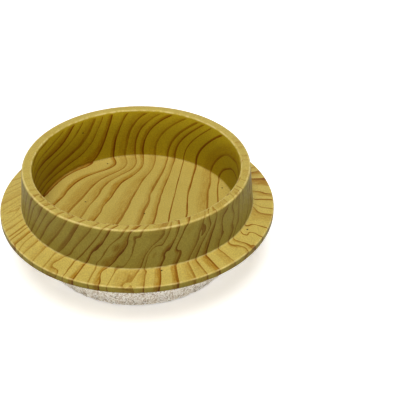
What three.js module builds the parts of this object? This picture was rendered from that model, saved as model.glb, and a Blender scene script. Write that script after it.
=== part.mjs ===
// A round cup that stands under a furniture caster or leg: a moulded body with a felt pad bonded under it.
// Millimetres, +Z up, with the origin at the centre of the felt's underside.
import * as THREE from 'three';

// Pocket that takes the caster
const POCKET_RIM_RADIUS = 25.4;
const POCKET_DEPTH = 14.1;
const POCKET_DRAFT = THREE.MathUtils.degToRad(2);
const POCKET_FILLET = 0.4;
const FLOOR_THICKNESS = 3.4;

// Collar round the pocket
const RIM_WIDTH = 2.35;
const RIM_ROUND = 0.55;
const COLLAR_DRAFT = THREE.MathUtils.degToRad(5.4);
const COLLAR_FILLET = 0.5;

// Flange, whose top falls slightly to a thin edge and whose underside is a cone
const FLANGE_REACH = 5.3;
const FLANGE_EDGE_RISE = 3.0;
const FLANGE_FALL = 0.9;
const FLANGE_EDGE_THICKNESS = 1.6;
const FLANGE_TOP_ROUND = 0.45;
const FLANGE_BOTTOM_ROUND = 0.3;
const UNDERSIDE_REACH = 7.8;

// Lip round the recess for the felt
const RECESS_DEPTH = 2.5;
const LIP_FACE_WIDTH = 0.7;
const LIP_HEIGHT = 1.65;
const LIP_BEVEL = THREE.MathUtils.degToRad(33);
const LIP_ROUND = 0.2;
const LIP_FILLET = 0.3;

// Felt pad and the film that bonds it
const FELT_THICKNESS = 7.8;
const FELT_CLEARANCE = 0.5;
const FELT_ROUND = 0.5;
const FILM_THICKNESS = 0.3;
const FILM_MARGIN = 0.6;

// Facets
const SIDES = 96;
const ARC_STEPS = 4;

// Heights, from the floor that the felt stands on
const feltTop = FELT_THICKNESS;
const recessTop = feltTop + FILM_THICKNESS;
const lipBottom = recessTop - RECESS_DEPTH;
const lipFoot = lipBottom + LIP_HEIGHT;
const floorTop = recessTop + FLOOR_THICKNESS;
const rimTop = floorTop + POCKET_DEPTH;
const flangeEdgeTop = floorTop + FLANGE_EDGE_RISE;
const flangeEdgeBottom = flangeEdgeTop - FLANGE_EDGE_THICKNESS;
const collarFoot = flangeEdgeTop + FLANGE_FALL;

// Radii, from the pocket outwards and back in under the flange
const floorRadius = POCKET_RIM_RADIUS - POCKET_DEPTH * Math.tan(POCKET_DRAFT);
const rimRadius = POCKET_RIM_RADIUS + RIM_WIDTH;
const collarFootRadius = rimRadius + (rimTop - collarFoot) * Math.tan(COLLAR_DRAFT);
const flangeRadius = collarFootRadius + FLANGE_REACH;
const lipFootRadius = flangeRadius - UNDERSIDE_REACH;
const lipRadius = lipFootRadius - LIP_HEIGHT * Math.tan(LIP_BEVEL);
const recessRadius = lipRadius - LIP_FACE_WIDTH;
const feltRadius = recessRadius - FELT_CLEARANCE;
const filmRadius = feltRadius - FILM_MARGIN;

// One corner of a profile: its radius from the axis, its height and how far it is rounded
function corner(radius, height, round = 0) {
  return { at: new THREE.Vector2(radius, height), round };
}

// The arc that rounds one corner, from the side before it to the side after it
function roundedCorner(before, { at, round }, after) {
  const back = before.at.clone().sub(at).normalize();
  const ahead = after.at.clone().sub(at).normalize();
  const halfAngle = Math.acos(back.dot(ahead)) / 2;
  const start = at.clone().addScaledVector(back, round / Math.tan(halfAngle));
  const toCentre = back.clone().add(ahead).setLength(round / Math.sin(halfAngle));
  const centre = at.clone().add(toCentre);
  const turn = Math.sign(ahead.cross(back)) * (Math.PI - 2 * halfAngle);
  const points = [];
  for (let step = 0; step <= ARC_STEPS; step += 1) {
    points.push(start.clone().rotateAround(centre, (turn * step) / ARC_STEPS));
  }
  return points;
}

// A solid turned about +Z from a profile that starts and ends on the axis
function turned(corners) {
  const profile = corners.flatMap((each, index) => {
    if (each.round === 0) return [each.at];
    return roundedCorner(corners[index - 1], each, corners[index + 1]);
  });
  return new THREE.LatheGeometry(profile, SIDES).rotateX(Math.PI / 2);
}

function piece(name, geometry, color, roughness) {
  const material = new THREE.MeshStandardMaterial({ color, roughness, metalness: 0 });
  const mesh = new THREE.Mesh(geometry, material);
  mesh.name = name;
  return mesh;
}

// The moulded cup, from the middle of its underside out round the lip, flange and collar to its floor
function cupBody() {
  return turned([
    corner(0, recessTop),
    corner(recessRadius, recessTop),
    corner(recessRadius, lipBottom, LIP_ROUND),
    corner(lipRadius, lipBottom, LIP_ROUND),
    corner(lipFootRadius, lipFoot, LIP_FILLET),
    corner(flangeRadius, flangeEdgeBottom, FLANGE_BOTTOM_ROUND),
    corner(flangeRadius, flangeEdgeTop, FLANGE_TOP_ROUND),
    corner(collarFootRadius, collarFoot, COLLAR_FILLET),
    corner(rimRadius, rimTop, RIM_ROUND),
    corner(POCKET_RIM_RADIUS, rimTop, RIM_ROUND),
    corner(floorRadius, floorTop, POCKET_FILLET),
    corner(0, floorTop),
  ]);
}

// The bonding film, flat between the recess and the felt
function adhesiveFilm() {
  return turned([
    corner(0, feltTop),
    corner(filmRadius, feltTop),
    corner(filmRadius, recessTop),
    corner(0, recessTop),
  ]);
}

// The felt pad, with its edge slightly rounded where it meets the floor
function feltPad() {
  return turned([
    corner(0, 0),
    corner(feltRadius, 0, FELT_ROUND),
    corner(feltRadius, feltTop),
    corner(0, feltTop),
  ]);
}

const casterCup = new THREE.Group();
casterCup.name = 'caster_cup';
casterCup.add(
  piece('cup_body', cupBody(), 0xbba257, 0.45),
  piece('adhesive_film', adhesiveFilm(), 0xe6dfc8, 0.35),
  piece('felt_pad', feltPad(), 0xb9ab95, 1),
);

export default casterCup;
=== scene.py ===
"""Looks of a round caster cup: a moulded body printed with wood grain, on a thick felt pad."""
import math
from collections import namedtuple

import bpy
import numpy as np
from mathutils import Matrix, Vector, noise


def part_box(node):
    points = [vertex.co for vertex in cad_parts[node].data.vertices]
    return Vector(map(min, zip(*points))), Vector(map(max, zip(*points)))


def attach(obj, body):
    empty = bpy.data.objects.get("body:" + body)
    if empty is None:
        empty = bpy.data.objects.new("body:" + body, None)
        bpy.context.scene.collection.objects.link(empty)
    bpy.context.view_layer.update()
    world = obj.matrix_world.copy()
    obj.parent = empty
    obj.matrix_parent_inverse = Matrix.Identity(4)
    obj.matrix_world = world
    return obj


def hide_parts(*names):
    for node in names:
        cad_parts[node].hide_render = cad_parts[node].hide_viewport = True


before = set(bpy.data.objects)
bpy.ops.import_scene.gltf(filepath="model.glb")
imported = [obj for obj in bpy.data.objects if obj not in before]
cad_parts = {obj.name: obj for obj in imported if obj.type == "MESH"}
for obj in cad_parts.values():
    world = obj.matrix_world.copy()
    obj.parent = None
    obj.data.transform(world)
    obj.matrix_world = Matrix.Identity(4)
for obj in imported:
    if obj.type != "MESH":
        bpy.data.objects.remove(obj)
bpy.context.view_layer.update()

MM = 0.001

# Sizes of the moulded body that the frame's boxes don't give, in metres
POCKET_RIM_RADIUS = 25.4 * MM
POCKET_DEPTH = 14.1 * MM
POCKET_DRAFT = math.radians(2)
POCKET_FILLET = 0.4 * MM
RIM_WIDTH = 2.35 * MM
RIM_ROUND = 0.55 * MM
COLLAR_FILLET = 0.5 * MM
FLANGE_REACH = 5.3 * MM
FLANGE_EDGE_RISE = 3.0 * MM
FLANGE_FALL = 0.9 * MM
FLANGE_EDGE_THICKNESS = 1.6 * MM
FLANGE_TOP_ROUND = 0.45 * MM
FLANGE_BOTTOM_ROUND = 0.3 * MM
UNDERSIDE_REACH = 7.8 * MM
LIP_FACE_WIDTH = 0.7 * MM
LIP_HEIGHT = 1.65 * MM
LIP_ROUND = 0.2 * MM
LIP_FILLET = 0.3 * MM
FELT_CLEARANCE = 0.5 * MM
FELT_ROUND = 0.5 * MM

# Fineness of the turned meshes
BODY_SIDES = 288
FELT_SIDES = 240
ARC_STEPS = 7
RUN_STEP = 1.1 * MM

# Scuffing and painted highlight on a rounded corner: the power below 1 that moves them towards the corner's
# start, and how thin they are
SCUFF_HIGHLIGHT_LEAD = 0.7
SCUFF_HIGHLIGHT_POWER = 3

# The printed grain is laid out in zones, in millimetres. In a fanned zone the lines spread from a pivot, seen
# from above; in the outer zone they cross the rim and run down the collar and out over the flange. Kinks says
# how restless the lines are, and the zone's painted shade is what its steep faces multiply the base colour
# by:
# darker, more saturated walls, collar and flange band that stand in for shade and coloured bounce light.
Zone = namedtuple("Zone", "spacing kinks deep pivot", defaults=(None,))
LINES_ROUND = 64
OUTER_RADIUS = 27.0
POCKET_PIVOT = (22.0, 96.0)
FLOOR = Zone(4.1, 0.1, (1, 1, 1), POCKET_PIVOT)
WALL = Zone(4.1, 0.1, (0.80, 0.77, 0.12), POCKET_PIVOT)
OUTER = Zone(2 * math.pi * OUTER_RADIUS / LINES_ROUND, 1.0, (0.38, 0.385, 0.26))
UNDER = Zone(3.6, 0.6, (1, 1, 1), (-60.0, 150.0))
# How fast the painted shade grows as a face gets steeper
PAINTED_SHADE_POWER = 4

# True spacing of the lines, as shares of the zone's own, at the least and the most
SPACING_LIMITS = (0.4, 1.3)

# The eddy that the floor's lines swerve round: its place and half widths, and how many lines it moves
EDDY_PLACE = (-7.0, 20.0)
EDDY_WIDTHS = (9.0, 5.0)
EDDY_LINES = 1.3

# How many lines the grain moves by as it climbs the pocket's wall: swells round the axis, each with its
# azimuth and half width in degrees, its lines, and the power of the height that it grows by
POCKET_RISE = ((145, 26, 3.5, 1), (205, 50, 9.0, 1), (65, 35, 3.5, 2), (345, 40, 4.0, 1))

# How far the outer zone's lines lean: swells of slope round the axis
RIM_LEAN = ((275, 55, 0.8),)
COLLAR_LEAN = ((222, 34, 0.6), (285, 50, 0.42))
FLANGE_LEAN = ((185, 38, -0.95), (262, 25, 0.2))

# Where the ink is faint: swells round the axis, each with its azimuth, half width and size. A size of 1
# takes the sharp lines away, and 2 takes the bands too.
RIM_FAINT = ((90, 95, 2.0), (180, 30, 1.0))
COLLAR_FAINT = ((180, 35, 0.8),)
FLANGE_FAINT = ((182, 44, 0.75),)

# How the lines wander: the size of each swing across and along them in millimetres, then how many lines it
# moves them by, from calm zones to restless ones. Knots come only in patches.
DRIFT = (18.0, 40.0, 1.0, 2.4)
SWAY = (6.0, 15.0, 0.5, 1.3)
TREMOR = (0.9, 4.0, 0.06)
KNOT = (3.6, 7.0, 3.4)
KNOT_PATCH = (9.0, 14.0)
KNOT_RANGE = (0.48, 0.6)

# The ink, with each pair as the least and the most. A band ends somewhere in its share of the count and is
# a share of that wide; a line's width is in millimetres, and its core is the share of it that is full.
BAND_ENDS = (0.6, 1.0)
BAND_WIDTHS = (0.2, 0.95)
BAND_POWER = 0.6
BAND_STRENGTHS = (0.85, 1.9)
LINE_STRENGTHS = (0.7, 1.0)
LINE_WIDTHS = (0.45, 0.85)
LINE_CORE = 0.55

# Streaks and faded patches in the ink: their size across and along the lines in millimetres, and strengths
STREAK = (0.32, 2.4)
STREAK_STRENGTHS = (0.45, 1.15)
FADED_PATCH = (6.0, 12.0)
FADED_RANGE = (0.35, 0.55)
FADED_STRENGTHS = (0.65, 1.0)

# The range that most values of a noise lie in
NOISE_RANGE = (0.3, 0.7)

# The body's finish: sizes of its uneven places, and how strong they are
TONE_SIZE = 8 * MM
SPECKLE_SIZE = 0.32 * MM
SPECKLE_SHARE = 0.8
PIT_SPACING = 5 * MM
PIT_REACH = (0.055, 0.03)
# The cream on rounded corners, partly scuffing and partly painted highlight: the size and strengths of its
# patches
SCUFF_HIGHLIGHT_PATCH_SIZE = 1.6 * MM
SCUFF_HIGHLIGHT_PATCH_RANGE = (0.38, 0.6)
SCUFF_HIGHLIGHT_PATCH_STRENGTHS = (0.15, 0.7)
SATIN_SIZE = 0.8 * MM
SATIN_ROUGHNESS = (0.40, 0.52)
GRIT_SIZE = 0.45 * MM
GRIT_STRENGTH = 0.10
GRIT_DEPTH = 0.05 * MM

# The felt's core: its lumps by how many go to a metre and how high they are, how far its side is sunk, and
# the height at its top that stays as turned
FELT_LUMPS = ((700, 0.10 * MM), (2300, 0.07 * MM))
FELT_SINK = 0.1 * MM
FELT_TOP = 0.1 * MM
MOTTLE_SCALE = 2600.0
MOTTLE_RANGE = (0.4, 0.56)
NAP_SCALE = 2200.0
NAP_STRENGTH = 0.8
NAP_DEPTH = 0.2 * MM

# The felt's fibres, on its side and under its base. The side's limits are measured from the floor up and
# from the lip up, and the lift's shares are at a fibre's middle and from end to end.
FIBRE_SEED = 7
SIDE_FIBRES = 5400
SIDE_LENGTHS = (0.4 * MM, 1.4 * MM)
SIDE_FOOT = 0.15 * MM
SIDE_TOP = 0.6 * MM
SIDE_LIMITS = (0.06 * MM, 1.2 * MM)
SIDE_SINK = 0.02 * MM
LIP_REACH = 0.2 * MM
LIP_GAP = 0.12 * MM
BASE_FIBRES = 4400
BASE_LENGTHS = (1.2 * MM, 3.4 * MM)
BASE_MARGIN = 1.8 * MM
BASE_NAP = 0.12 * MM
FIBRE_BEND = 0.5
FIBRE_LIFT = 0.10 * MM
LIFT_MIDDLE = 0.2
LIFT_SPREAD = 1.6
FIBRE_RADII = (0.03 * MM, 0.06 * MM)
FIBRE_TAPER = 0.45
FIBRE_STEPS = 4
FIBRE_SIDES = 3

# The bonding film
CLOUD_SCALE = 250.0
FILM_ROUGHNESS = (0.3, 0.45)

# The photograph's view: the flange's centre in the camera's own frame, and the camera's tilt
CAMERA_ELEVATION = math.radians(35.3)
CAMERA_ROLL = math.radians(0.7)
CAMERA_LENS = 85.4
CAMERA_SENSOR = 36.0
FLANGE_IN_VIEW = Vector((-15.54, 0.23, -237.6)) * MM

# Stage and light
FLOOR_HALF = 4.0
FLOOR_LIFT = 0.5
HORIZON_GLOW = 5.0
HORIZON_TOP = 0.27
SKY_GLOW = 0.08
LAMP_ENERGY = 2.65
LAMP_WIDTH = math.radians(36)
LAMP_TILT = (math.radians(17), math.radians(-2), 0)


def srgb(red, green, blue):
    """A display colour, 0 to 255, as the linear colour that shaders take."""
    channels = []
    for value in (red, green, blue):
        share = value / 255
        channels.append(share / 12.92 if share <= 0.04045 else ((share + 0.055) / 1.055) ** 2.4)
    return (*channels, 1.0)


# Colours of the body, with the speckle and inks as what they multiply it by
TAN = (srgb(203, 180, 91), srgb(191, 167, 76))
SPECKLE = (0.76, 0.74, 0.82, 1)
BAND_INK = (0.70, 0.50, 0.23, 1)
LINE_INK = (0.59, 0.37, 0.14, 1)
PIT = srgb(60, 44, 20)
# Cream of rounded corners, partly scuffing and partly painted highlight
SCUFF_HIGHLIGHT_COLOUR = srgb(222, 206, 140)

# Colours of the felt, of its fibres with each one's share of them, and of the film
FELT = (srgb(196, 180, 156), srgb(255, 252, 245))
FIBRE_COLOURS = (
    (srgb(255, 252, 244), 0.60),
    (srgb(246, 237, 219), 0.18),
    (srgb(205, 192, 178), 0.07),
    (srgb(165, 140, 106), 0.10),
    (srgb(116, 96, 70), 0.05),
)
FILM = (srgb(236, 230, 212), srgb(222, 213, 188))


class Graph:
    """Adds shader nodes to a new material or world and joins their sockets."""

    def __init__(self, owner):
        owner.use_nodes = True
        self.owner = owner
        self.tree = owner.node_tree
        self.shader = self.tree.nodes.get("Principled BSDF")

    def node(self, kind, **settings):
        made = self.tree.nodes.new(kind)
        for key, value in settings.items():
            setattr(made, key, value)
        return made

    def put(self, value, socket):
        if isinstance(value, bpy.types.NodeSocket):
            self.tree.links.new(value, socket)
        else:
            socket.default_value = value

    def math(self, operation, *values, clamp=False):
        made = self.node("ShaderNodeMath", operation=operation, use_clamp=clamp)
        for value, socket in zip(values, made.inputs):
            self.put(value, socket)
        return made.outputs[0]

    def split(self, vector):
        made = self.node("ShaderNodeSeparateXYZ")
        self.put(vector, made.inputs[0])
        return made.outputs

    def attribute(self, name, output):
        return self.node("ShaderNodeAttribute", attribute_name=name).outputs[output]

    def noise(self, vector, scale, detail=2.0, roughness=0.5):
        made = self.node("ShaderNodeTexNoise", noise_dimensions="3D")
        self.put(vector, made.inputs["Vector"])
        made.inputs["Scale"].default_value = scale
        made.inputs["Detail"].default_value = detail
        made.inputs["Roughness"].default_value = roughness
        return made.outputs["Fac"]

    def chances(self, value):
        """Three even chances, 0 to 1, that stay the same for each whole value."""
        made = self.node("ShaderNodeTexWhiteNoise", noise_dimensions="1D")
        self.put(value, made.inputs["W"])
        parts = self.node("ShaderNodeSeparateColor")
        self.put(made.outputs["Color"], parts.inputs[0])
        return parts.outputs

    def spread(self, value, low, high, to_low=0.0, to_high=1.0):
        made = self.node("ShaderNodeMapRange", interpolation_type="SMOOTHSTEP")
        for item, socket in zip((value, low, high, to_low, to_high), made.inputs):
            self.put(item, socket)
        return made.outputs[0]

    def mix(self, factor, first, second, blend="MIX"):
        made = self.node("ShaderNodeMix", data_type="RGBA", blend_type=blend)
        self.put(factor, made.inputs[0])
        self.put(first, made.inputs[6])
        self.put(second, made.inputs[7])
        return made.outputs[2]

    def bump(self, height, strength, distance):
        made = self.node("ShaderNodeBump")
        made.inputs["Strength"].default_value = strength
        made.inputs["Distance"].default_value = distance
        self.put(height, made.inputs["Height"])
        self.put(made.outputs[0], self.shader.inputs["Normal"])


# Camera


def make_camera(flange_height):
    data = bpy.data.cameras.new("view")
    data.lens = CAMERA_LENS
    data.sensor_width = CAMERA_SENSOR
    camera = bpy.data.objects.new("view", data)
    bpy.context.scene.collection.objects.link(camera)
    upright = math.cos(CAMERA_ELEVATION)
    axis = Vector((
        math.sin(CAMERA_ROLL) * upright,
        math.cos(CAMERA_ROLL) * upright,
        math.sin(CAMERA_ELEVATION),
    ))
    right = (Vector((1, 0, 0)) - axis * axis.x).normalized()
    turn = Matrix((right, axis.cross(right), axis)).transposed().to_4x4()
    flange = Matrix.Translation((0, 0, -flange_height))
    camera.matrix_world = (Matrix.Translation(FLANGE_IN_VIEW) @ turn @ flange).inverted()
    bpy.context.scene.camera = camera


# Turned profiles


def arc(before, at, after, radius):
    """Points of the arc that rounds the corner `at` of a profile."""
    back = (before - at).normalized()
    ahead = (after - at).normalized()
    half = back.angle(ahead) / 2
    centre = at + (back + ahead).normalized() * (radius / math.sin(half))
    start = at + back * (radius / math.tan(half)) - centre
    side = 1 if ahead.x * back.y > ahead.y * back.x else -1
    turn = side * (math.pi - 2 * half)
    points = []
    for step in range(ARC_STEPS + 1):
        angle = turn * step / ARC_STEPS
        spun = Matrix.Rotation(angle, 2) @ start
        points.append(centre + spun)
    return points


# One corner of a profile: its place and rounding, how much of the cream of scuffing and painted highlight its
# rounding takes, and the zone, lean and faint places of the grain on the run that leads to it
Corner = namedtuple("Corner", "radius height rounding edge zone lean faint", defaults=(0, 0, None, (), ()))

# One point of a profile: its scuffing and painted highlight, how steep its face is, and the corner that its
# run leads to
Stop = namedtuple("Stop", "point edge steep corner")


def profile_of(corners):
    """The stops along a profile of corners: straight runs in short steps, and corners as arcs."""
    marks = [Vector((corner.radius, corner.height)) for corner in corners]
    stops = [Stop(marks[0], 0.0, 0.0, corners[0])]
    for index in range(1, len(corners)):
        corner = corners[index]
        bend = [marks[index]]
        if corner.rounding:
            bend = arc(marks[index - 1], marks[index], marks[index + 1], corner.rounding)
        first = stops[-1].point
        run = bend[0] - first
        pieces = math.ceil(run.length / RUN_STEP)
        for piece in range(1, pieces + 1):
            point = first + run * (piece / pieces)
            stops.append(Stop(point, 0.0, abs(run.y) / run.length, corner))
        for step in range(1, len(bend)):
            stride = bend[step] - bend[step - 1]
            # Scuffing and painted highlight, thin and drawn towards the arc's start
            share = (step / (len(bend) - 1)) ** SCUFF_HIGHLIGHT_LEAD
            edge = corner.edge * math.sin(math.pi * share) ** SCUFF_HIGHLIGHT_POWER
            stops.append(Stop(bend[step], edge, abs(stride.y) / stride.length, corner))
    return stops


def turned_mesh(name, stops, sides):
    """A closed mesh turned about +Z from stops that start on the axis at the top and end on it below."""
    angles = np.linspace(0, 2 * math.pi, sides, endpoint=False)
    vertices = [(0, 0, stops[0].point.y)]
    for stop in stops[1:-1]:
        for angle in angles:
            vertices.append((stop.point.x * math.cos(angle), stop.point.x * math.sin(angle), stop.point.y))
    vertices.append((0, 0, stops[-1].point.y))
    last = len(vertices) - 1
    faces = []
    for strip in range(len(stops) - 1):
        here = 1 + (strip - 1) * sides
        there = here + sides
        for side in range(sides):
            after = (side + 1) % sides
            if strip == 0:
                faces.append((0, there + side, there + after))
            elif there == last:
                faces.append((here + after, here + side, last))
            else:
                faces.append((here + after, here + side, there + side, there + after))
    mesh = bpy.data.meshes.new(name)
    mesh.from_pydata(vertices, [], faces)
    mesh.shade_smooth()
    return mesh


def add_piece(name, mesh, material):
    piece = bpy.data.objects.new(name, mesh)
    bpy.context.scene.collection.objects.link(piece)
    mesh.materials.append(material)
    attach(piece, "root")
    return piece


# Moulded body


def body_corners():
    """Corners of the body's profile, from the middle of the pocket's floor out and round to the recess."""
    low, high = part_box("cup_body")
    recess_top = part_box("adhesive_film")[1].z
    rim_top = high.z
    flange_radius = high.x
    floor_top = rim_top - POCKET_DEPTH
    edge_top = floor_top + FLANGE_EDGE_RISE
    collar_radius = flange_radius - FLANGE_REACH
    collar_foot = edge_top + FLANGE_FALL
    floor_radius = POCKET_RIM_RADIUS - POCKET_DEPTH * math.tan(POCKET_DRAFT)
    wall_radius = POCKET_RIM_RADIUS - 2 * RIM_ROUND * math.tan(POCKET_DRAFT)
    recess_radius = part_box("felt_pad")[1].x + FELT_CLEARANCE
    return [
        Corner(0, floor_top, zone=FLOOR),
        Corner(floor_radius, floor_top, POCKET_FILLET, 0, FLOOR),
        Corner(wall_radius, rim_top - 2 * RIM_ROUND, 0, 0, WALL),
        Corner(POCKET_RIM_RADIUS, rim_top, RIM_ROUND, 1.0, WALL, (), RIM_FAINT),
        Corner(POCKET_RIM_RADIUS + RIM_WIDTH, rim_top, RIM_ROUND, 0.8, OUTER, RIM_LEAN, RIM_FAINT),
        Corner(collar_radius, collar_foot, COLLAR_FILLET, 0.5, OUTER, COLLAR_LEAN, COLLAR_FAINT),
        Corner(flange_radius, edge_top, FLANGE_TOP_ROUND, 0.65, OUTER, FLANGE_LEAN, FLANGE_FAINT),
        Corner(flange_radius, edge_top - FLANGE_EDGE_THICKNESS, FLANGE_BOTTOM_ROUND, 0.2, OUTER),
        Corner(flange_radius - UNDERSIDE_REACH, low.z + LIP_HEIGHT, LIP_FILLET, 0.3, UNDER),
        Corner(recess_radius + LIP_FACE_WIDTH, low.z, LIP_ROUND, 0.8, UNDER),
        Corner(recess_radius, low.z, LIP_ROUND, 0.5, UNDER),
        Corner(recess_radius, recess_top, 0, 0, UNDER),
        Corner(0, recess_top, 0, 0, UNDER),
    ]


def swell(around, azimuth, width):
    """A smooth swell, 1 at its azimuth, at each angle round the axis; its places are in degrees."""
    away = (np.degrees(around) - azimuth + 180) % 360 - 180
    return np.exp(-(away / width) ** 2)


def swells(around, places):
    """The sum, at each angle round the axis, of swells given by azimuth, width and size."""
    total = np.zeros(around.shape)
    for azimuth, width, size in places:
        total += size * swell(around, azimuth, width)
    return total


def fanned_grain(zone, radius, run, around):
    """Lines that spread from a pivot: their count all round at one radius, and their place on the film."""
    x = radius * np.cos(around)
    y = radius * np.sin(around)
    along = np.hypot(zone.pivot[0] - x, zone.pivot[1] - y)
    count = np.arctan2(x - zone.pivot[0], zone.pivot[1] - y) * math.hypot(*zone.pivot) / zone.spacing
    if zone in (FLOOR, WALL):
        away = ((x - EDDY_PLACE[0]) / EDDY_WIDTHS[0]) ** 2 + ((y - EDDY_PLACE[1]) / EDDY_WIDTHS[1]) ** 2
        count -= EDDY_LINES * np.exp(-away)
    if zone is WALL:
        for azimuth, width, lines, power in POCKET_RISE:
            count -= lines * swell(around, azimuth, width) * (run * MM / POCKET_DEPTH) ** power
        along -= run * np.sin(around)
    return count, np.stack([count * zone.spacing, np.zeros(around.shape), along], axis=1)


def outer_grain(shift, run, around):
    """Lines that cross the rim, collar and flange: their count all round, and their place on the film."""
    turn = around + shift
    high = np.full(around.shape, run)
    film = np.stack([OUTER_RADIUS * np.cos(turn), OUTER_RADIUS * np.sin(turn), high], axis=1)
    return LINES_ROUND * turn / (2 * math.pi), film


def strip_grain(before, stop, run, shift, around):
    """The grain at both sides of one strip of faces: count, spacing and kinks, and place on the film."""
    zone = stop.corner.zone
    step = (stop.point - before.point).length / MM
    radii = (before.point.x / MM, stop.point.x / MM)
    shifts = (shift, shift + swells(around, stop.corner.lean) * step / max(radii))
    counts = []
    films = []
    for radius, place, turned in zip(radii, (run, run + step), shifts):
        if zone.pivot:
            count, film = fanned_grain(zone, radius, place, around)
        else:
            count, film = outer_grain(turned, place, around)
        counts.append(count)
        films.append(film)
    spacing = np.full(around.shape, zone.spacing)
    if zone is not FLOOR:
        slope = np.hypot((counts[1] - counts[0]) / step, np.gradient(counts[1], around) / max(radii))
        least, most = SPACING_LIMITS
        spacing = np.clip(1 / slope, zone.spacing * least, zone.spacing * most)
    grains = [np.stack([count, spacing, np.full(around.shape, zone.kinks)], axis=1) for count in counts]
    return grains, films, run + step, shifts[1]


def print_grain(mesh, stops, sides):
    """Lays the grain on the mesh, corner by corner of each face, with the painted shade of steep faces, the
    scuffing and painted highlight of rounded corners, and the faint places.
    """
    around = np.linspace(0, 2 * math.pi, sides + 1)
    layers = {"grain": [], "film": [], "deep": []}
    for strip in range(len(stops) - 1):
        before = stops[strip]
        stop = stops[strip + 1]
        if strip == 0 or stop.corner.zone is not before.corner.zone:
            run = 0.0
            shift = np.zeros(sides + 1)
        grains, films, run, shift = strip_grain(before, stop, run, shift, around)
        # Painted shade: the steeper a face, the more it takes its zone's darker, more saturated colour
        shade_tint = np.array(stop.corner.zone.deep)
        painted_shades = [np.ones((sides + 1, 3)) + (shade_tint - 1) * each.steep ** PAINTED_SHADE_POWER for each in (before, stop)]
        for name, (first, second) in zip(layers, (grains, films, painted_shades)):
            corners = [first[1:], first[:-1], second[:-1], second[1:]]
            if strip == 0:
                corners = [first[:-1], second[:-1], second[1:]]
            elif strip == len(stops) - 2:
                corners = [first[1:], first[:-1], second[:-1]]
            layers[name].append(np.stack(corners, axis=1).reshape(-1, 3))
    for name, rows in layers.items():
        layer = mesh.attributes.new(name, "FLOAT_VECTOR", "CORNER")
        layer.data.foreach_set("vector", np.concatenate(rows).astype(np.float32).ravel())
    # Cream on rounded corners, partly scuffing and partly painted highlight
    corner_scuff_and_highlight = [stop.edge for stop in stops[1:-1]]
    scuff_and_highlight_values = np.concatenate([[0], np.repeat(corner_scuff_and_highlight, sides), [0]]).astype(np.float32)
    mesh.attributes.new("edge", "FLOAT", "POINT").data.foreach_set("value", scuff_and_highlight_values)
    lost = [swells(around[:-1], stop.corner.faint) for stop in stops[1:-1]]
    faint = np.concatenate([[0], *lost, [0]]).astype(np.float32)
    mesh.attributes.new("faint", "FLOAT", "POINT").data.foreach_set("value", faint)


def film_noise(g, film, across_mm, along_mm, detail=1.0):
    """Noise on the film, drawn out along the grain."""
    scaled = g.node("ShaderNodeVectorMath", operation="MULTIPLY")
    g.put(film, scaled.inputs[0])
    scaled.inputs[1].default_value = (1 / across_mm, 1 / across_mm, 1 / along_mm)
    return g.noise(scaled.outputs[0], 1.0, detail)


def wandering_count(g, film, count, kinks):
    """The count of lines with its wanderings: drift and sway, knots in patches, and a fine tremor."""

    def wander(across_mm, along_mm, lines):
        swing = g.math("SUBTRACT", film_noise(g, film, across_mm, along_mm), 0.5)
        return g.math("MULTIPLY", swing, lines)

    for across_mm, along_mm, calm, restless in (DRIFT, SWAY):
        lines = g.spread(kinks, 0.0, 1.0, calm, restless)
        count = g.math("ADD", count, wander(across_mm, along_mm, lines))
    across_mm, along_mm, most = KNOT
    patches = g.spread(film_noise(g, film, *KNOT_PATCH, 0.0), *KNOT_RANGE)
    lines = g.math("MULTIPLY", g.math("MULTIPLY", patches, kinks), most)
    count = g.math("ADD", count, wander(across_mm, along_mm, lines))
    return g.math("ADD", count, wander(*TREMOR))


def growth_lines(g):
    """The brown ink: bands that deepen to the right, each ended by a sharp dark line."""
    count, spacing, kinks = g.split(g.attribute("grain", "Vector"))
    film = g.attribute("film", "Vector")
    field = wandering_count(g, film, count, kinks)
    pick = g.chances(g.math("FLOORED_MODULO", g.math("FLOOR", field), LINES_ROUND))
    end = g.spread(pick[0], 0.0, 1.0, *BAND_ENDS)
    width = g.math("MULTIPLY", end, g.spread(pick[1], 0.1, 0.8, *BAND_WIDTHS))
    gap = g.math("SUBTRACT", end, g.math("FRACT", field))
    inside = g.math("GREATER_THAN", gap, 0.0)
    rise = g.math("SUBTRACT", 1.0, g.math("DIVIDE", gap, width), clamp=True)
    streak = g.spread(film_noise(g, film, *STREAK, 2.0), *NOISE_RANGE, *STREAK_STRENGTHS)
    faded = g.spread(film_noise(g, film, *FADED_PATCH), *FADED_RANGE, *FADED_STRENGTHS)
    faded = g.math("MULTIPLY", faded, inside)
    faint = g.attribute("faint", "Fac")
    strength = g.math("MULTIPLY", g.spread(pick[2], 0.0, 0.8, *LINE_STRENGTHS), faded)
    strength = g.math("MULTIPLY", strength, g.math("SUBTRACT", 1.0, faint, clamp=True))
    bold = g.math("MULTIPLY", g.spread(pick[2], 0.3, 0.9, *BAND_STRENGTHS), faded)
    bold = g.math("MULTIPLY", bold, g.math("MULTIPLY_ADD", faint, -0.5, 1.0, clamp=True))
    band = g.math("MULTIPLY", g.math("POWER", rise, BAND_POWER), streak)
    band = g.math("MULTIPLY", band, bold, clamp=True)
    thick = g.spread(pick[0], 0.0, 1.0, *LINE_WIDTHS)
    line = g.spread(g.math("MULTIPLY", gap, spacing), thick, g.math("MULTIPLY", thick, LINE_CORE))
    return band, g.math("MULTIPLY", line, strength)


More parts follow.
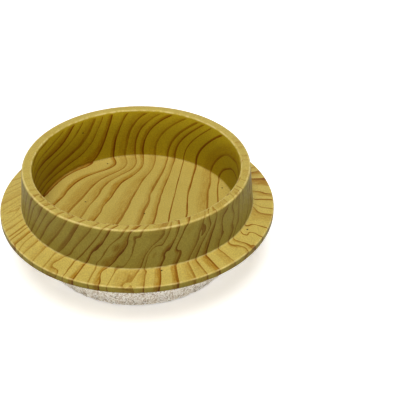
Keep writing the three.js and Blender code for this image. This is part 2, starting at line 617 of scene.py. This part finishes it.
def wood_grain():
    """Satin plastic printed with brown growth lines on tan, with painted shade on its walls and, on rounded
    corners, a cream that is partly scuffing and partly painted highlight.
    """
    g = Graph(bpy.data.materials.new("wood_grain_plastic"))
    place = g.node("ShaderNodeTexCoord").outputs["Object"]
    tone = g.noise(place, 1 / TONE_SIZE)
    tan = g.mix(tone, *TAN)
    # Painted shade on steep faces
    tan = g.mix(1.0, tan, g.attribute("deep", "Vector"), "MULTIPLY")
    speckle = g.spread(g.noise(place, 1 / SPECKLE_SIZE, 1.0), *NOISE_RANGE)
    tan = g.mix(g.math("MULTIPLY", speckle, SPECKLE_SHARE), tan, SPECKLE, "MULTIPLY")
    band, line = growth_lines(g)
    printed = g.mix(band, tan, BAND_INK, "MULTIPLY")
    printed = g.mix(line, printed, LINE_INK, "MULTIPLY")
    pits = g.node("ShaderNodeTexVoronoi", feature="F1")
    g.put(place, pits.inputs["Vector"])
    pits.inputs["Scale"].default_value = 1 / PIT_SPACING
    printed = g.mix(g.spread(pits.outputs["Distance"], *PIT_REACH), printed, PIT)
    # Cream on rounded corners, partly scuffing and partly painted highlight, broken up in patches
    scuff_highlight_patches = g.spread(g.noise(place, 1 / SCUFF_HIGHLIGHT_PATCH_SIZE, 3.0), *SCUFF_HIGHLIGHT_PATCH_RANGE, *SCUFF_HIGHLIGHT_PATCH_STRENGTHS)
    scuff_highlight_share = g.math("MULTIPLY", g.attribute("edge", "Fac"), scuff_highlight_patches)
    g.put(g.mix(scuff_highlight_share, printed, SCUFF_HIGHLIGHT_COLOUR), g.shader.inputs["Base Color"])
    rough = g.spread(g.noise(place, 1 / SATIN_SIZE), *NOISE_RANGE, *SATIN_ROUGHNESS)
    g.put(rough, g.shader.inputs["Roughness"])
    g.shader.inputs["Specular IOR Level"].default_value = 0.07
    g.bump(g.noise(place, 1 / GRIT_SIZE), GRIT_STRENGTH, GRIT_DEPTH)
    return g.owner


def make_body():
    stops = profile_of(body_corners())
    mesh = turned_mesh("cup_shell", stops, BODY_SIDES)
    print_grain(mesh, stops, BODY_SIDES)
    body = add_piece("cup_shell", mesh, wood_grain())
    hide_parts("cup_body")


# Felt pad


def felt_graph(name):
    g = Graph(bpy.data.materials.new(name))
    g.shader.inputs["Roughness"].default_value = 0.95
    g.shader.inputs["Sheen Weight"].default_value = 0.3
    g.shader.inputs["Specular IOR Level"].default_value = 0.15
    return g


def core_material():
    """Mottled, rough felt, as it shows between the loose fibres."""
    g = felt_graph("felt")
    place = g.node("ShaderNodeTexCoord").outputs["Object"]
    mottle = g.spread(g.noise(place, MOTTLE_SCALE, 2.0, 0.6), *MOTTLE_RANGE)
    g.put(g.mix(mottle, *FELT), g.shader.inputs["Base Color"])
    g.bump(g.noise(place, NAP_SCALE, 3.0, 0.7), NAP_STRENGTH, NAP_DEPTH)
    return g.owner


def fibre_material():
    g = felt_graph("felt_fibre")
    g.put(g.attribute("fibre_colour", "Color"), g.shader.inputs["Base Color"])
    return g.owner


def make_felt_core():
    low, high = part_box("felt_pad")
    stops = profile_of([
        Corner(0, high.z),
        Corner(high.x, high.z),
        Corner(high.x, low.z + BASE_NAP, FELT_ROUND),
        Corner(0, low.z + BASE_NAP),
    ])
    mesh = turned_mesh("felt_core", stops, FELT_SIDES)
    for vertex in mesh.vertices:
        if vertex.co.z > high.z - FELT_TOP:
            continue
        lump = sum(noise.noise(vertex.co * many) * height for many, height in FELT_LUMPS)
        out = Vector((vertex.co.x, vertex.co.y, 0)).normalized()
        vertex.co += out * (lump - FELT_SINK)
    core = add_piece("felt_core", mesh, core_material())
    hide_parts("felt_pad")


# One loose fibre, and the felt that it lies on: the height of its foot, its radius and the lip's height
Fibre = namedtuple("Fibre", "length heading bend lift radius colour")
Pad = namedtuple("Pad", "foot radius lip")


def draw_fibre(draw, lengths):
    shares = [share for _, share in FIBRE_COLOURS]
    return Fibre(
        draw.uniform(*lengths),
        draw.uniform(0, 2 * math.pi),
        draw.normal(0, FIBRE_BEND),
        abs(draw.normal(0, FIBRE_LIFT)),
        draw.uniform(*FIBRE_RADII),
        FIBRE_COLOURS[draw.choice(len(FIBRE_COLOURS), p=shares)][0],
    )


def fibre_steps(fibre):
    """Steps along a fibre: its share from the middle, the run from there, and the way it heads."""
    for step in range(FIBRE_STEPS):
        share = step / (FIBRE_STEPS - 1) - 0.5
        yield share, fibre.length * share, fibre.heading + fibre.bend * share


def side_points(fibre, pad, angle, height):
    """Points of a fibre that lies on the felt's side, held back from the lip at the top."""
    points = []
    for share, run, way in fibre_steps(fibre):
        z = height + run * math.sin(way)
        z = min(max(z, pad.foot + SIDE_LIMITS[0]), pad.lip + SIDE_LIMITS[1])
        inset = max(0.0, FELT_ROUND - (z - pad.foot))
        round_in = FELT_ROUND - math.sqrt(max(0.0, FELT_ROUND ** 2 - inset ** 2))
        reach = pad.radius - round_in - SIDE_SINK + fibre.lift * (LIFT_MIDDLE + share * LIFT_SPREAD)
        if z > pad.lip - LIP_REACH:
            reach = min(reach, pad.radius + LIP_GAP)
        turn = angle + run * math.cos(way) / pad.radius
        points.append(Vector((reach * math.cos(turn), reach * math.sin(turn), z)))
    return points


def base_points(fibre, centre):
    """Points of a fibre that lies flat under the felt."""
    points = []
    for _, run, way in fibre_steps(fibre):
        points.append(centre + Vector((math.cos(way), math.sin(way), 0)) * run)
    return points


class Tubes:
    """Fine closed tubes gathered for one mesh, each in its fibre's colour."""

    def __init__(self):
        self.vertices = []
        self.faces = []
        self.colours = []

    def add(self, points, fibre):
        first = len(self.vertices)
        last = len(points) - 1
        for index, point in enumerate(points):
            ahead = (points[min(index + 1, last)] - points[max(index - 1, 0)]).normalized()
            across = ahead.orthogonal().normalized()
            up = ahead.cross(across)
            thin = fibre.radius * (FIBRE_TAPER if index in (0, last) else 1)
            for corner in range(FIBRE_SIDES):
                turn = 2 * math.pi * corner / FIBRE_SIDES
                self.vertices.append(point + (across * math.cos(turn) + up * math.sin(turn)) * thin)
                self.colours.append(fibre.colour)
        for index in range(last):
            here = first + index * FIBRE_SIDES
            for corner in range(FIBRE_SIDES):
                ring = (here + corner, here + (corner + 1) % FIBRE_SIDES)
                self.faces.append((*ring, ring[1] + FIBRE_SIDES, ring[0] + FIBRE_SIDES))
        end = first + last * FIBRE_SIDES
        self.faces.append(tuple(first + corner for corner in reversed(range(FIBRE_SIDES))))
        self.faces.append(tuple(end + corner for corner in range(FIBRE_SIDES)))

    def mesh(self, name):
        mesh = bpy.data.meshes.new(name)
        mesh.from_pydata(self.vertices, [], self.faces)
        layer = mesh.attributes.new("fibre_colour", "FLOAT_COLOR", "POINT")
        layer.data.foreach_set("color", np.array(self.colours, np.float32).ravel())
        return mesh


def make_fibres():
    """Short stray fibres that lie on the felt's side and underside, as fine three-sided tubes."""
    low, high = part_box("felt_pad")
    pad = Pad(low.z, high.x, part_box("cup_body")[0].z)
    draw = np.random.default_rng(FIBRE_SEED)
    tubes = Tubes()
    for _ in range(SIDE_FIBRES):
        fibre = draw_fibre(draw, SIDE_LENGTHS)
        angle = draw.uniform(0, 2 * math.pi)
        height = draw.uniform(pad.foot + SIDE_FOOT, pad.lip + SIDE_TOP)
        tubes.add(side_points(fibre, pad, angle, height), fibre)
    for _ in range(BASE_FIBRES):
        fibre = draw_fibre(draw, BASE_LENGTHS)
        spot = (pad.radius - BASE_MARGIN) * math.sqrt(draw.uniform(0, 1))
        angle = draw.uniform(0, 2 * math.pi)
        centre = Vector((spot * math.cos(angle), spot * math.sin(angle), pad.foot + BASE_NAP / 2))
        tubes.add(base_points(fibre, centre), fibre)
    add_piece("felt_fibres", tubes.mesh("felt_fibres"), fibre_material())


# Bonding film


def finish_film():
    """The film stays the frame's own solid, with a pale, slightly uneven adhesive finish."""
    g = Graph(bpy.data.materials.new("adhesive"))
    place = g.node("ShaderNodeTexCoord").outputs["Object"]
    cloud = g.noise(place, CLOUD_SCALE)
    g.put(g.mix(cloud, *FILM), g.shader.inputs["Base Color"])
    g.put(g.spread(cloud, *NOISE_RANGE, *FILM_ROUGHNESS), g.shader.inputs["Roughness"])
    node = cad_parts["adhesive_film"]
    node.data.materials.clear()
    node.data.materials.append(g.owner)


# Stage and light


def make_floor():
    mesh = bpy.data.meshes.new("floor")
    signs = ((-1, -1), (1, -1), (1, 1), (-1, 1))
    corners = [(x * FLOOR_HALF, y * FLOOR_HALF, 0) for x, y in signs]
    mesh.from_pydata(corners, [], [(0, 1, 2, 3)])
    floor = bpy.data.objects.new("floor", mesh)
    bpy.context.scene.collection.objects.link(floor)
    g = Graph(bpy.data.materials.new("floor"))
    g.shader.inputs["Base Color"].default_value = (0.9, 0.9, 0.9, 1)
    g.shader.inputs["Roughness"].default_value = 1.0
    g.shader.inputs["Specular IOR Level"].default_value = 0.0
    g.shader.inputs["Emission Color"].default_value = (1, 1, 1, 1)
    path = g.node("ShaderNodeLightPath")
    g.put(g.math("MULTIPLY", path.outputs["Is Camera Ray"], FLOOR_LIFT), g.shader.inputs["Emission Strength"])
    mesh.materials.append(g.owner)


def make_light():
    """A bright horizon all round, and one broad lamp overhead."""
    world = bpy.data.worlds.new("studio")
    bpy.context.scene.world = world
    g = Graph(world)
    path = g.node("ShaderNodeLightPath")
    seen = g.math("MAXIMUM", path.outputs["Is Camera Ray"], path.outputs["Is Glossy Ray"])
    seen = g.math("MAXIMUM", seen, path.outputs["Is Transmission Ray"])
    up = g.split(g.node("ShaderNodeTexCoord").outputs["Generated"])[2]
    glow = g.spread(up, 0.0, HORIZON_TOP, HORIZON_GLOW, SKY_GLOW)
    shade = g.tree.nodes["Background"]
    shade.inputs["Color"].default_value = (1, 1, 1, 1)
    hidden = g.math("SUBTRACT", 1.0, seen)
    g.put(g.math("MULTIPLY_ADD", hidden, glow, seen), shade.inputs["Strength"])
    data = bpy.data.lights.new("overhead", "SUN")
    data.energy = LAMP_ENERGY
    data.angle = LAMP_WIDTH
    lamp = bpy.data.objects.new("overhead", data)
    lamp.rotation_euler = LAMP_TILT
    bpy.context.scene.collection.objects.link(lamp)


flange_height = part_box("cup_body")[1].z - POCKET_DEPTH + FLANGE_EDGE_RISE
make_camera(flange_height)
make_body()
make_felt_core()
make_fibres()
finish_film()
make_floor()
make_light()
bpy.context.scene.view_settings.view_transform = "Standard"
